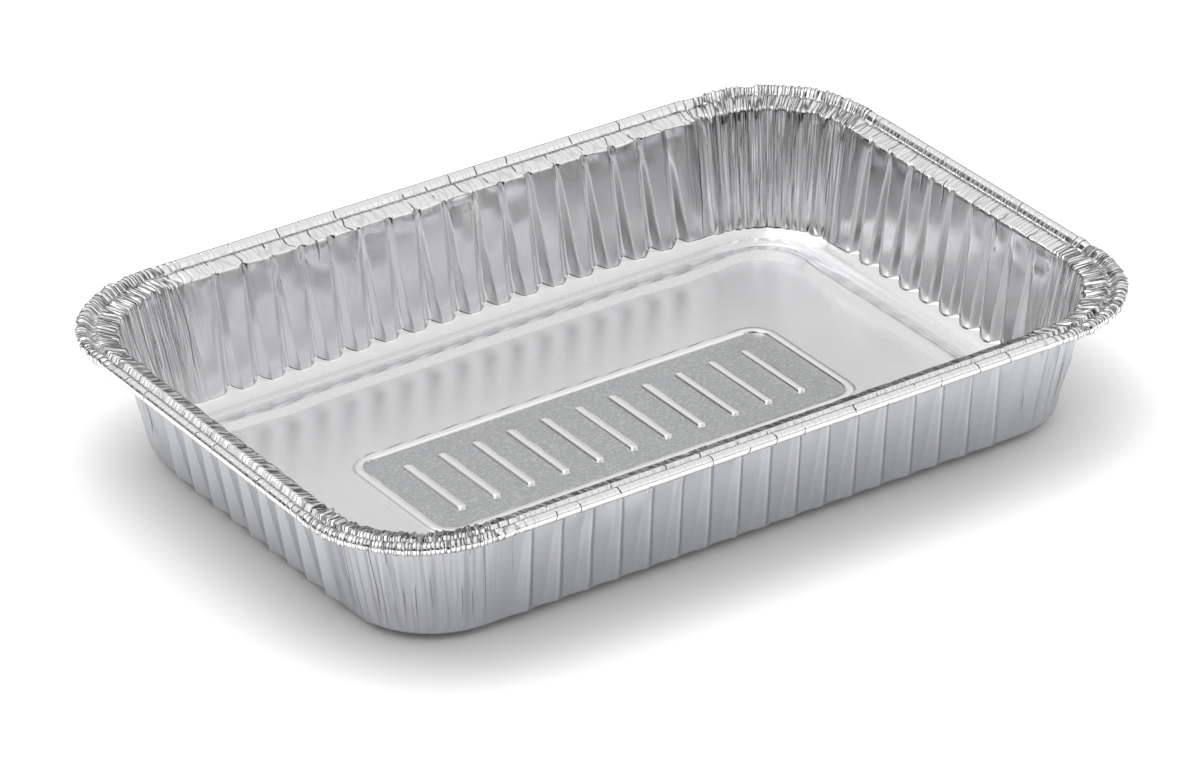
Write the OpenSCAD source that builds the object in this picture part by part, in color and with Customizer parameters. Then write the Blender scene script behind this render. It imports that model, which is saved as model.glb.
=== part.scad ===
// Foil drip pan: one sheet of thin aluminium pressed into a shallow tray with a rolled edge.
// The origin is at the middle of the underside, +Z points up and X runs along the length.

/* [Overall] */
// Length over the rolled edge
pan_l = 216; // [180:1:260]
// Width over the rolled edge
pan_w = 155; // [130:1:190]
// Height from the underside to the top of the rolled edge
pan_h = 34; // [26:0.5:48]
// Thickness of the foil
foil_t = 0.09; // [0.06:0.01:0.2]

/* [Rim] */
// Corner radius over the rolled edge
rim_r = 30; // [26:0.5:36]
// Diameter of the rolled edge
bead_d = 2.9; // [2.2:0.1:3.6]
// Width of the groove between the rolled edge and the flange
groove_w = 1.6; // [1:0.1:2.4]
// Depth of the groove below the top of the rolled edge
groove_drop = 1.9; // [1.4:0.1:2.4]
// Width of the flat flange
flange_w = 3.4; // [2:0.1:5]
// Depth of the flange below the top of the rolled edge
flange_drop = 1.3; // [0.9:0.1:1.8]
// Radius of the shoulder where the flange turns down into the wall
shoulder_r = 1.1; // [0.7:0.1:1.6]

/* [Wall] */
// Distance from the outside of the rim in to the foot of the wall
foot_inset = 14.7; // [13:0.1:17]
// Corner radius at the foot of the wall
foot_r = 20.6; // [17:0.1:24]
// Width of the sloping band between the foot of the wall and the flat floor
band_w = 4.3; // [3:0.1:6]
// Rise of the sloping band for each millimetre of its width
band_slope = 0.55; // [0.35:0.01:0.8]

/* [Flutes] */
// Spacing of the upright pleats along the long sides
pleat_pitch_l = 7.9; // [6:0.1:11]
// Spacing of the upright pleats along the short sides
pleat_pitch_w = 8.25; // [6:0.05:11]
// How far a pleat stands out of the wall at its foot
pleat_depth = 2.3; // [1:0.1:3]
// Width of a pleat at its foot
pleat_w = 5.4; // [3:0.1:5.8]
// How far a pleat still stands out at the top of the wall
pleat_top_depth = 0.25; // [0.1:0.05:0.6]
// Plain wall between the last pleat and the corner
pleat_end_gap = 5.5; // [3:0.1:9]

/* [Corner gathers] */
// Number of gathers in each corner
gather_count = 8; // [5:1:10]
// Depth of a gather in the wall
gather_depth = 0.7; // [0.2:0.05:1.2]

/* [Floor] */
// Distance from the outside of the rim in to the top of the raised ring
ring_inset = 23.6; // [22:0.1:27]
// Width of the flat top of the raised ring
ring_top_w = 0.9; // [0.5:0.1:1.5]
// Height of the raised ring
ring_h = 1.2; // [0.6:0.1:1.8]
// Width of the outer slope of the raised ring
ring_outer_w = 3.2; // [2:0.1:3.4]
// Width of the inner slope of the raised ring
ring_inner_w = 2.4; // [1.2:0.1:4]

/* [Stiffening panel] */
// Length of the ribbed panel in the floor
panel_l = 117; // [95:1:120]
// Width of the ribbed panel in the floor
panel_w = 44; // [38:1:60]
// Corner radius of the panel
panel_r = 7; // [5:0.5:12]
// Width of a rib
rib_w = 2.6; // [2:0.1:3.4]
// Height of a rib
rib_h = 0.8; // [0.4:0.1:1.2]
// Width of the flat top of a rib
rib_top_w = 1.1; // [0.6:0.1:1.6]
// Spacing of the cross ribs
rib_pitch = 9.4; // [7:0.1:14]
// Length of a cross rib
rib_l = 26; // [18:0.5:30]
// Plain floor between the panel's frame and the first cross rib
rib_end_gap = 5; // [3:0.1:10]

/* [Hidden] */

half_l = pan_l / 2;
half_w = pan_w / 2;

// Corner radius of a loop that lies in from the outside of the rim by the distance inset
corner_rate = (rim_r - foot_r) / foot_inset;
function corner_r(inset) = rim_r - corner_rate * inset;

// Stretch of straight wall on each side, measured at its foot
straight_l = half_l - foot_inset - foot_r;
straight_w = half_w - foot_inset - foot_r;

// Pleats on each side of the middle one
function pleats_beside(straight, pitch) = floor((straight - pleat_end_gap) / pitch);

// Half length of the straight stretch, distance from the middle, pitch and pleats of side k,
// counted from the right side anticlockwise
function along_length(k) = k % 2 == 1;
function side_reach(k) = along_length(k) ? half_w : half_l;
function side_half(k) = along_length(k) ? straight_l : straight_w;
function side_pitch(k) = along_length(k) ? pleat_pitch_l : pleat_pitch_w;
function side_pleats(k) = pleats_beside(side_half(k), side_pitch(k));

// How densely a loop is divided: the raised ring, the rolled edge, the flange or the wall
COARSE = 0;
PLAIN = 1;
PLEAT = 2;
FULL = 3;

gather_steps = 2 * gather_count;
quarter = 90;

// A place on a loop: [order round the loop, 0 for a side or 1 for a corner, side number, offset]
// The offset is [distance along the side, -1, 0 or 1 for foot, crest and foot of a pleat]
// or, in a corner, [angle, share of a gather].
function side_places(k, level) =
    let(n = side_pleats(k), pitch = side_pitch(k), reach = side_half(k))
    level < PLEAT ? [] : [
        for (i = [-n : n], part = level == FULL ? [-1, 0, 1] : [0])
            let(at = i * pitch + part * pleat_w / 2)
            [2 * k + (at + reach) / (2 * reach), 0, k, [i * pitch, part]]
    ];

// The gathers of a corner stand out and in by turns, and differ in depth by a sine that never repeats
gather_turn = 61;
corner_turn = 97;
gather_even = 0.35;
gather_uneven = 0.15;
function gather_share(k, m) =
    m == 0 || m == gather_steps ? 0 :
    (m % 2 == 0 ? 1 : -1) * (gather_even + gather_uneven * sin(corner_turn * k + gather_turn * m));

function corner_places(k, level) =
    let(stride = level == COARSE ? 2 : 1)
    [for (m = [0 : stride : gather_steps])
        [2 * k + 1 + m / gather_steps, 1, k, [quarter * m / gather_steps, gather_share(k, m)]]];

last_corner_end = [0, 1, 3, [quarter, 0]];
function drop_last(list) = [for (i = [0 : len(list) - 2]) list[i]];

function places(level) = concat(
    [last_corner_end],
    side_places(0, level),
    corner_places(0, level),
    side_places(1, level),
    corner_places(1, level),
    side_places(2, level),
    corner_places(2, level),
    side_places(3, level),
    drop_last(corner_places(3, level))
);

function turned(p, a) = [p[0] * cos(a) - p[1] * sin(a), p[0] * sin(a) + p[1] * cos(a)];

// A point at angle a on the rounded corner k, whose centre lies near and far out along its two sides
function on_corner(near, far, r, a, k) = turned([near + r * cos(a), far + r * sin(a)], quarter * k);

// A loop round the pan: [inset, height, division, pleat depth, rise of the pleat's foot, gather depth,
// gather height]
function loop_point(loop, place) =
    let(inset = loop[0], k = place[2], offset = place[3])
    place[1] == 0 ? let(
        narrow = loop[3] / pleat_depth,
        out = offset[1] == 0 ? loop[3] : 0,
        lift = offset[1] == 0 ? loop[4] : 0,
        along = offset[0] + offset[1] * narrow * pleat_w / 2,
        xy = turned([side_reach(k) - inset + out, along], quarter * k)
    ) [xy[0], xy[1], loop[1] + lift]
    : let(
        r = corner_r(inset),
        near = side_reach(k) - inset - r,
        far = side_reach(k + 1) - inset - r,
        xy = on_corner(near, far, r + loop[5] * offset[1], offset[0], k)
    ) [xy[0], xy[1], loop[1] + loop[6] * offset[1]];

function loop_points(loop) = [for (place = places(loop[2])) loop_point(loop, place)];
function loop_orders(loop) = [for (place = places(loop[2])) place[0]];

// Section of the underside, from the floor out to the end of the rolled edge
foot_z = band_w * band_slope;
pleat_rise = pleat_depth * band_slope;
wall_top_inset = bead_d + groove_w + flange_w + shoulder_r;
wall_top_z = pan_h - flange_drop - shoulder_r - foil_t;
turn_inset = wall_top_inset - shoulder_r * (1 - cos(quarter / 2));
turn_z = wall_top_z + shoulder_r * sin(quarter / 2);
mid_share = 0.5;
wall_mid_inset = foot_inset + (wall_top_inset - foot_inset) * mid_share;
wall_mid_z = foot_z + (wall_top_z - foot_z) * mid_share;
pleat_mid_depth = pleat_depth + (pleat_top_depth - pleat_depth) * mid_share;
ring_outer_foot = ring_inset - ring_outer_w;
ring_inner_top = ring_inset + ring_top_w;
ring_inner_foot = ring_inner_top + ring_inner_w;
band_foot_inset = foot_inset + band_w;
flange_z = pan_h - flange_drop - foil_t;
bead_r = bead_d / 2;
bead_inner_r = bead_r - foil_t;
bead_z = pan_h - bead_r;
bead_step = 30;
bead_first = 30;
bead_last = 300;

function section() = concat(
    [
        [ring_inner_foot, 0, COARSE, 0, 0, 0, 0],
        [ring_inner_top, ring_h, COARSE, 0, 0, 0, 0],
        [ring_inset, ring_h, COARSE, 0, 0, 0, 0],
        [ring_outer_foot, 0, COARSE, 0, 0, 0, 0],
        [band_foot_inset, 0, PLEAT, 0, 0, 0, 0],
        [foot_inset, foot_z, FULL, pleat_depth, pleat_rise, gather_depth / 2, 0],
        [wall_mid_inset, wall_mid_z, FULL, pleat_mid_depth, 0, gather_depth, 0],
        [wall_top_inset, wall_top_z, FULL, pleat_top_depth, 0, gather_depth, 0],
        [turn_inset, turn_z, PLEAT, pleat_top_depth, -pleat_top_depth / 2,
            gather_depth / 2, -gather_depth / 4],
        [wall_top_inset - shoulder_r, flange_z, PLEAT, 0, -pleat_top_depth, 0, -gather_depth / 2],
        [bead_d + groove_w, flange_z, PLEAT, 0, 0, 0, -gather_depth / 2],
        [bead_d + groove_w / 2, pan_h - groove_drop - foil_t, PLAIN, 0, 0, 0, -gather_depth / 4]
    ],
    [for (a = [bead_first : bead_step : bead_last])
        [bead_r + bead_inner_r * cos(a), bead_z + bead_inner_r * sin(a), PLAIN, 0, 0, gather_depth / 4, 0]]
);

// Direction across the foil at each point of the section, towards the inside of the pan
function unit(v) = v / norm(v);
function across(v) = unit([v[1], -v[0]]);
function section_normal(loops, i) = let(
    here = [loops[i][0], loops[i][1]],
    before = i == 0 ? [here[0] + 1, here[1]] : [loops[i - 1][0], loops[i - 1][1]],
    after = i == len(loops) - 1 ? 2 * here - before : [loops[i + 1][0], loops[i + 1][1]]
) unit(across(here - before) + across(after - here));

// The upper skin lies one foil thickness across from the underside
function upper_skin(loops) = [for (i = [len(loops) - 1 : -1 : 0])
    let(n = section_normal(loops, i) * foil_t, loop = loops[i])
    [loop[0] + n[0], loop[1] + n[1], loop[2], loop[3], loop[4], loop[5], loop[6]]];

// Frame of the panel: rounded rectangles with a rib's section, from the outside in
frame_steps = 4;
rib_flank = (rib_w - rib_top_w) / 2;
frame_section = [
    [0, 0],
    [rib_flank, rib_h],
    [rib_flank + rib_top_w, rib_h],
    [rib_w, 0]
];
frame_places = concat(
    [[0, 3, quarter]],
    [for (k = [0 : 3], m = [0 : frame_steps])
        if (k < 3 || m < frame_steps) [2 * k + 1 + m / frame_steps, k, quarter * m / frame_steps]]
);
frame_orders = [for (place = frame_places) place[0]];
function panel_reach(k) = (along_length(k) ? panel_w : panel_l) / 2 - panel_r;
function frame_points(in, z) = [for (place = frame_places)
    let(k = place[1], xy = on_corner(panel_reach(k), panel_reach(k + 1), panel_r - in, place[2], k))
    [xy[0], xy[1], z]];

// Cross ribs inside the frame: a grid whose columns are the edges of the ribs
ribs_beside = floor((panel_l / 2 - rib_w - rib_end_gap - rib_w / 2) / rib_pitch);
rib_columns = [
    [-rib_w / 2, 0],
    [-rib_top_w / 2, 1],
    [rib_top_w / 2, 1],
    [rib_w / 2, 0]
];
rib_top_reach = rib_l / 2 - rib_w / 2;
grid_margin = rib_w / 2;
grid_x = ribs_beside * rib_pitch + rib_w / 2 + grid_margin;
grid_y = rib_l / 2 + grid_margin;
grid_rows = [-grid_y, -rib_l / 2, -rib_top_reach, rib_top_reach, rib_l / 2, grid_y];
row_count = len(grid_rows);
end_share = 0.45;
function grid_columns() = concat(
    [[-grid_x, 0, 0]],
    [for (i = [-ribs_beside : ribs_beside], c = rib_columns) [i * rib_pitch, c[0], c[1]]],
    [[grid_x, 0, 0]]
);
function grid_points(z) = [for (col = grid_columns(), j = [0 : row_count - 1]) let(
    on_top = (j == 2 || j == 3) && col[2] == 1,
    share = j == 1 || j == row_count - 2 ? end_share : 1
) [col[0] + col[1] * share, grid_rows[j], z + (on_top ? rib_h : 0)]];
column_count = len(grid_columns());
grid_size = column_count * row_count;

// Edge of the grid as [order, index] pairs, anticlockwise from the lower end of the right side.
// Its sharp corners lie halfway along the rounded corners of the loops round it.
function corner_middle(k) = 2 * k + 1.5;
function grid_edge() = let(right = (column_count - 1) * row_count, top = row_count - 1) concat(
    [for (j = [1 : row_count - 2]) [j / (row_count - 1), right + j]],
    [[corner_middle(0), right + top]],
    [for (i = [column_count - 2 : -1 : 1]) [3 - i / (column_count - 1), i * row_count + top]],
    [[corner_middle(1), top]],
    [for (j = [row_count - 2 : -1 : 1]) [5 - j / (row_count - 1), j]],
    [[corner_middle(2), 0]],
    [for (i = [1 : column_count - 2]) [6 + i / (column_count - 1), i * row_count]],
    [[corner_middle(3), right]]
);

// Triangles between two neighbouring loops, each a list of [order, index] pairs.
// The loop that is further behind moves on, so that loops of different division meet cleanly.
turn_orders = 8;
order_slack = 0.0001;
function order_at(loop, i) = loop[i % len(loop)][0] + (i >= len(loop) ? turn_orders : 0);
function middle_ahead(loop, i) = (order_at(loop, i) + order_at(loop, i + 1)) / 2;
function first_moves(a, b, i, j) =
    j >= len(b) || (i < len(a) && middle_ahead(a, i) <= middle_ahead(b, j) + order_slack);
function stitch(a, b) = let(na = len(a), nb = len(b)) [
    for (
        i = 0, j = 0;
        i < na || j < nb;
        move = first_moves(a, b, i, j), i = move ? i + 1 : i, j = move ? j : j + 1
    )
        first_moves(a, b, i, j)
            ? [a[i % na][1], b[j % nb][1], a[(i + 1) % na][1]]
            : [a[i % na][1], b[j % nb][1], b[(j + 1) % nb][1]]
];

function sum_before(sizes, i) = i == 0 ? 0 : sizes[i - 1] + sum_before(sizes, i - 1);
function numbered(orders, start) = [for (i = [0 : len(orders) - 1]) [orders[i], start + i]];
function flatten(lists) = [for (list = lists) each list];

// The foil as one closed skin: the underside from the middle out, then the upper side back in
module foil_pan() {
    under = section();
    upper = upper_skin(under);
    frame_out = [for (i = [len(frame_section) - 1 : -1 : 0]) frame_section[i]];
    clouds = concat(
        [grid_points(0)],
        [for (s = frame_out) frame_points(s[0], s[1])],
        [for (loop = under) loop_points(loop)],
        [for (loop = upper) loop_points(loop)],
        [for (s = frame_section) frame_points(s[0], s[1] + foil_t)],
        [grid_points(foil_t)]
    );
    orders = concat(
        [for (s = frame_out) frame_orders],
        [for (loop = under) loop_orders(loop)],
        [for (loop = upper) loop_orders(loop)],
        [for (s = frame_section) frame_orders]
    );
    sizes = [for (cloud = clouds) len(cloud)];
    starts = [for (i = [0 : len(clouds) - 1]) sum_before(sizes, i)];
    top_grid = starts[len(clouds) - 1];
    rings = concat(
        [grid_edge()],
        [for (i = [0 : len(orders) - 1]) numbered(orders[i], starts[i + 1])],
        [[for (e = grid_edge()) [e[0], e[1] + top_grid]]]
    );
    cells = [for (i = [0 : column_count - 2], j = [0 : row_count - 2]) i * row_count + j];
    faces = concat(
        flatten([for (c = cells) [
            [c, c + row_count, c + row_count + 1],
            [c, c + row_count + 1, c + 1]
        ]]),
        flatten([for (i = [0 : len(rings) - 2]) stitch(rings[i], rings[i + 1])]),
        flatten([for (c = cells) [
            [top_grid + c, top_grid + c + row_count + 1, top_grid + c + row_count],
            [top_grid + c, top_grid + c + 1, top_grid + c + row_count + 1]
        ]])
    );
    color("silver") polyhedron(points = flatten(clouds), faces = faces);
}

foil_pan();
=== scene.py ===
"""A foil drip pan on a white table, as a studio photograph shows it."""
import math

import bpy
import numpy as np
from mathutils import Matrix, Vector


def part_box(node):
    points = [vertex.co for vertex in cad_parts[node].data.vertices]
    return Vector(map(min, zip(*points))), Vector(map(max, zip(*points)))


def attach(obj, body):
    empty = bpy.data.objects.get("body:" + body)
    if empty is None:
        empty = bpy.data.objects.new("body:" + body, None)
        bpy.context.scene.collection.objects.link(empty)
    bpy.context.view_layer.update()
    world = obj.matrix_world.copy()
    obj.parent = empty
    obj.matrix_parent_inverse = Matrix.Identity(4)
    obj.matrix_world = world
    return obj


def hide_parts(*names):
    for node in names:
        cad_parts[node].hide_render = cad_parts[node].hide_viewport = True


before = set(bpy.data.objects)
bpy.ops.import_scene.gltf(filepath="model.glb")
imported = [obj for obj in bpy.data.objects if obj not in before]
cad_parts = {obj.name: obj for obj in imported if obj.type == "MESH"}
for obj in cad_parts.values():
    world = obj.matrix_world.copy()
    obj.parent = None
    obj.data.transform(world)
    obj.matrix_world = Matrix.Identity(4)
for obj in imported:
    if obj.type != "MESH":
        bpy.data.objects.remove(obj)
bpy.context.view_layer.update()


# Foil
#
# Soft aluminium rolled to 0.09 mm and left bare. It is rolled two sheets at a time, so the inside of the
# pan, which met the rolls, is bright, and the outside is dull. The floor's panel has a fine grain.

def linear(hex_colour):
    """The linear colour of an sRGB hex value."""
    parts = [int(hex_colour[i:i + 2], 16) / 255 for i in (0, 2, 4)]
    return (*(c / 12.92 if c <= 0.04045 else ((c + 0.055) / 1.055) ** 2.4 for c in parts), 1)


def add(tree, kind, settings=None, links=None):
    """Adds a node with its settings, and gives each of its inputs a value or a link."""
    node = tree.nodes.new(kind)
    for name, value in (settings or {}).items():
        setattr(node, name, value)
    for socket, value in (links or {}).items():
        if isinstance(value, bpy.types.Node):
            value = value.outputs[0]
        if isinstance(value, bpy.types.NodeSocket):
            tree.links.new(value, node.inputs[socket])
        else:
            node.inputs[socket].default_value = value
    return node


mm = 0.001
foil = bpy.data.materials.new("rolled_aluminium_foil")
foil.use_nodes = True
foil.node_tree.nodes.clear()
shade = foil.node_tree

foil_colour = linear("F1F1F2")
grainy_colour = linear("B6B7B8")
dull_colour = linear("CBCCCE")
# Painted shade: a near-black colour that is drawn into the bottom of folds and nicks
painted_fold_shade_colour = linear("2C2D2F")
smooth_roughness = 0.17
grainy_roughness = 0.32
dull_roughness = 0.34
creased_roughness = 0.09
crease_width = 0.7 * mm
crease_length = 14 * mm
nick_spacing = 3.2 * mm
nick_length = 4 * mm
line_width = 0.3 * mm
line_length = 8 * mm
grain_width = 0.28 * mm
grain_length = 0.9 * mm
crease_bump_height = 0.3 * mm
nick_bump_height = 0.22 * mm
line_bump_height = 0.003 * mm
grain_bump_height = 0.045 * mm

# Lines that the rolls leave along the sheet, drawn wider than they are so that they show
here = add(shade, "ShaderNodeTexCoord").outputs["Object"]
line_place = add(shade, "ShaderNodeMapping", {}, {
    "Vector": here, "Scale": (1 / line_length, 1 / line_width, 1 / line_width),
})
lines = add(shade, "ShaderNodeTexNoise", {}, {"Vector": line_place, "Scale": 1, "Detail": 2})

# Fine grain of the floor and its panel, a little askew to the roll lines
grain_place = add(shade, "ShaderNodeMapping", {}, {
    "Vector": here, "Scale": (1 / grain_length, 1 / grain_width, 1 / grain_width),
    "Rotation": (0, 0, math.radians(12)),
})
grain = add(shade, "ShaderNodeTexNoise", {}, {
    "Vector": grain_place, "Scale": 1, "Detail": 2, "Roughness": 0.6, "Distortion": 0.5,
})
grainy = add(shade, "ShaderNodeAttribute", {"attribute_name": "grainy"}).outputs["Fac"]

# Folds in the gathered foil, as the edges of long cells that lie across the rim. The footprint runs
# round the pan in x and out along the section in y
footprint = add(shade, "ShaderNodeAttribute", {"attribute_name": "footprint"}).outputs["Vector"]
crease_place = add(shade, "ShaderNodeMapping", {}, {
    "Vector": footprint, "Scale": (1 / crease_width, 1 / crease_length, 1),
})
crease_edge = add(shade, "ShaderNodeTexVoronoi", {
    "voronoi_dimensions": "2D", "feature": "DISTANCE_TO_EDGE",
}, {"Vector": crease_place, "Scale": 1, "Randomness": 1}).outputs["Distance"]
crease_height = add(shade, "ShaderNodeMapRange", {"interpolation_type": "SMOOTHSTEP"}, {
    "Value": crease_edge, "From Max": 0.22,
})

# Sharp nicks right across the flange and the bead, which wander and break off here and there
nick_place = add(shade, "ShaderNodeMapping", {}, {
    "Vector": footprint, "Scale": (1 / nick_spacing, 1 / nick_length, 1),
})
nick_wander = add(shade, "ShaderNodeTexNoise", {}, {"Vector": nick_place, "Scale": 0.7, "Detail": 1})
around_nicks = add(shade, "ShaderNodeSeparateXYZ", {}, {0: nick_place})
nick_row = add(shade, "ShaderNodeMath", {"operation": "MULTIPLY_ADD"}, {
    0: nick_wander, 1: 0.4, 2: around_nicks.outputs[0],
})
nick_edge = add(shade, "ShaderNodeTexVoronoi", {
    "voronoi_dimensions": "1D", "feature": "DISTANCE_TO_EDGE",
}, {"W": nick_row, "Scale": 1, "Randomness": 1}).outputs["Distance"]
nick_height = add(shade, "ShaderNodeMapRange", {"interpolation_type": "SMOOTHSTEP"}, {
    "Value": nick_edge, "From Max": 0.03,
})
nick_breaks = add(shade, "ShaderNodeTexNoise", {}, {"Vector": nick_place, "Scale": 1.0, "Detail": 0})
nick_here = add(shade, "ShaderNodeMapRange", {"interpolation_type": "SMOOTHSTEP"}, {
    "Value": nick_breaks, "From Min": 0.42, "From Max": 0.56,
})
creased = add(shade, "ShaderNodeAttribute", {"attribute_name": "lined"}).outputs["Fac"]
on_rim = add(shade, "ShaderNodeMapRange", {}, {"Value": creased, "From Max": 0.08})
nicked = add(shade, "ShaderNodeMath", {"operation": "MULTIPLY"}, {0: on_rim, 1: nick_here})

# The bumps, one on the other
nick_bump = add(shade, "ShaderNodeBump", {}, {
    "Strength": nicked, "Distance": nick_bump_height, "Height": nick_height,
})
crease_bump = add(shade, "ShaderNodeBump", {}, {
    "Strength": creased, "Distance": crease_bump_height, "Height": crease_height, "Normal": nick_bump,
})
line_bump = add(shade, "ShaderNodeBump", {}, {
    "Strength": 1.0, "Distance": line_bump_height, "Height": lines, "Normal": crease_bump,
})
grain_bump = add(shade, "ShaderNodeBump", {}, {
    "Strength": grainy, "Distance": grain_bump_height, "Height": grain, "Normal": line_bump,
})

# Folded foil is sharper in its reflections, the outside of the pan is dull and the grain blurs the floor
stretched = add(shade, "ShaderNodeMapRange", {}, {
    "Value": creased, "To Min": smooth_roughness, "To Max": creased_roughness,
})
dull = add(shade, "ShaderNodeAttribute", {"attribute_name": "dull"}).outputs["Fac"]
own_roughness = add(shade, "ShaderNodeMapRange", {}, {
    "Value": dull, "To Min": stretched, "To Max": dull_roughness,
})
roughness = add(shade, "ShaderNodeMapRange", {}, {
    "Value": grainy, "From Max": 0.25, "To Min": own_roughness, "To Max": grainy_roughness,
})

# The colour is darker in the grain and on the dull side, and a painted shade darkens the bottom of folds and
# nicks
grain_tone = add(shade, "ShaderNodeMapRange", {}, {
    "Value": grain, "From Min": 0.35, "From Max": 0.65, "To Min": 0.45, "To Max": 1.55,
})
grain_share = add(shade, "ShaderNodeMath", {"operation": "MULTIPLY"}, {0: grain_tone, 1: grainy})
side_tone = add(shade, "ShaderNodeMix", {"data_type": "RGBA"}, {
    "Factor": dull, "A": foil_colour, "B": dull_colour,
})
grain_mix = add(shade, "ShaderNodeMix", {"data_type": "RGBA"}, {
    "Factor": grain_share, "A": side_tone.outputs["Result"], "B": grainy_colour,
})
# Painted shade along the crease and nick edges, standing in for the shade deep in the folds
painted_crease_shade = add(shade, "ShaderNodeMapRange", {"interpolation_type": "SMOOTHSTEP"}, {
    "Value": crease_edge, "From Max": 0.14, "To Min": 0.85, "To Max": 0.0,
})
crease_painted_shade = add(shade, "ShaderNodeMath", {"operation": "MULTIPLY"}, {0: painted_crease_shade, 1: creased})
painted_nick_shade = add(shade, "ShaderNodeMapRange", {"interpolation_type": "SMOOTHSTEP"}, {
    "Value": nick_edge, "From Max": 0.022, "To Min": 0.95, "To Max": 0.0,
})
nick_painted_shade = add(shade, "ShaderNodeMath", {"operation": "MULTIPLY"}, {0: painted_nick_shade, 1: nicked})
painted_fold_shade = add(shade, "ShaderNodeMath", {"operation": "MAXIMUM"}, {0: crease_painted_shade, 1: nick_painted_shade})
tone = add(shade, "ShaderNodeMix", {"data_type": "RGBA"}, {
    "Factor": painted_fold_shade, "A": grain_mix.outputs["Result"], "B": painted_fold_shade_colour,
})
foil_shader = add(shade, "ShaderNodeBsdfPrincipled", {}, {
    "Base Color": tone.outputs["Result"], "Metallic": 1.0, "Roughness": roughness, "Normal": grain_bump,
})
add(shade, "ShaderNodeOutputMaterial", {}, {"Surface": foil_shader})


# Sheet
#
# The pan is one sheet of foil, pressed between two dies into a shallow tray with round corners. Its edge
# is turned down into a groove and rolled outwards into a bead, which hides the cut edge and stiffens it.

low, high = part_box("foil_pan")
pan_length = high.x - low.x
pan_width = high.y - low.y
pan_height = high.z - low.z
thickness = 0.09 * mm

rim_radius = 30 * mm
bead_radius = 1.45 * mm
groove_middle = 3.7 * mm
groove_depth = 1.9 * mm
flange_outer = 4.5 * mm
flange_inner = 7.9 * mm
flange_drop = 1.3 * mm
flange_rise = 0.9 * mm
shoulder_radius = 1.1 * mm

foot_inset = 14.7 * mm
foot_radius = 20.6 * mm
band_foot_inset = 19 * mm
band_slope = 0.55
band_crease_inset = 17 * mm

pleat_pitch = (8.25 * mm, 7.9 * mm)
pleat_width = 5.4 * mm
pleat_end_gap = 5.5 * mm

corner_rate = (rim_radius - foot_radius) / foot_inset
reach = (pan_length / 2, pan_width / 2)


def corner_radius(inset):
    """The corner radius of the loop that lies at that distance in from the rim."""
    return rim_radius - corner_rate * inset


def straight(k, inset):
    """Half the straight stretch of side k in the loop that lies at that distance in from the rim."""
    return reach[(k + 1) % 2] - inset - corner_radius(inset)


# Places round the pan: each is a row with its side or corner, its distance along the side, its share of
# the plain stretch beside the corner, its angle in the corner, its share of a pleat, its slide, the
# number of the pleat and how far it is from the middle of the pillar
ridge_steps = (-1, -0.93, -0.6, -0.25, -0.12, 0.12, 0.25, 0.6, 0.93)
nose_steps = (-1, -0.84, -0.3, 0.3, 0.84)
gap_steps = 7
corner_steps = 134
SIDE, CORNER = 0, 1


def side_rows(k):
    """The rows along side k: plain foil, its pleats with a pillar between each two, and plain foil."""
    pitch = pleat_pitch[k % 2]
    beside = int((straight(k, foot_inset) - pleat_end_gap) / pitch)
    edge = beside * pitch + pleat_width / 2
    nose_half = (pitch - pleat_width) / 2
    nose_share = nose_half / (pitch / 2)
    found = []
    for g in range(1, gap_steps):
        share = g / gap_steps
        found.append((SIDE, k, -edge, share - 1, 0, 0, share - 1, 0, nose_share * share))
    for i in range(-beside, beside + 1):
        for s in ridge_steps:
            found.append((SIDE, k, i * pitch + s * pleat_width / 2, 0, 0, 1 - abs(s), -s, i,
                          1 - abs(s) * (1 - nose_share)))
        if i < beside:
            for t in nose_steps:
                found.append((SIDE, k, (i + 0.5) * pitch + t * nose_half, 0, 0, 0, t, i, abs(t) * nose_share))
    for g in range(gap_steps):
        share = g / gap_steps
        found.append((SIDE, k, edge, share, 0, 0, 1 - share, 0, nose_share * (1 - share)))
    return found


def corner_rows(k):
    """The rows round the corner after side k."""
    return [(CORNER, k, 0, 0, m / corner_steps, 0, 0, 0, 0) for m in range(corner_steps + 1)]


rows = np.array([row for k in range(4) for row in side_rows(k) + corner_rows(k)])
kinds, sides, alongs, gaps, angles, pleats, slides, pleat_numbers, bows = rows.T
sides = sides.astype(int)
quarter = math.pi / 2
side_turn = quarter * sides
side_out = np.stack([np.cos(side_turn), np.sin(side_turn)], 1)
side_on = np.stack([-np.sin(side_turn), np.cos(side_turn)], 1)
in_corner = kinds == CORNER
turn = angles * quarter
outward = np.where(in_corner[:, None], np.cos(turn)[:, None] * side_out + np.sin(turn)[:, None] * side_on,
                   side_out)
sideways = np.stack([-outward[:, 1], outward[:, 0]], 1)
own_reach = np.where(sides % 2 == 0, reach[0], reach[1])
next_reach = np.where(sides % 2 == 0, reach[1], reach[0])


def loop_xy(inset):
    """The loop round the pan that lies at that distance in from the rim."""
    radius = corner_radius(inset)
    half_straight = np.array([straight(k, inset) for k in sides])
    along = alongs + np.where(gaps < 0, -1, 1) * np.abs(gaps) * (half_straight - np.abs(alongs))
    on_side = side_out * (own_reach - inset)[:, None] + side_on * along[:, None]
    core = inset + radius
    centre = side_out * (own_reach - core)[:, None] + side_on * (next_reach - core)[:, None]
    return np.where(in_corner[:, None], centre + outward * radius, on_side)


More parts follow.
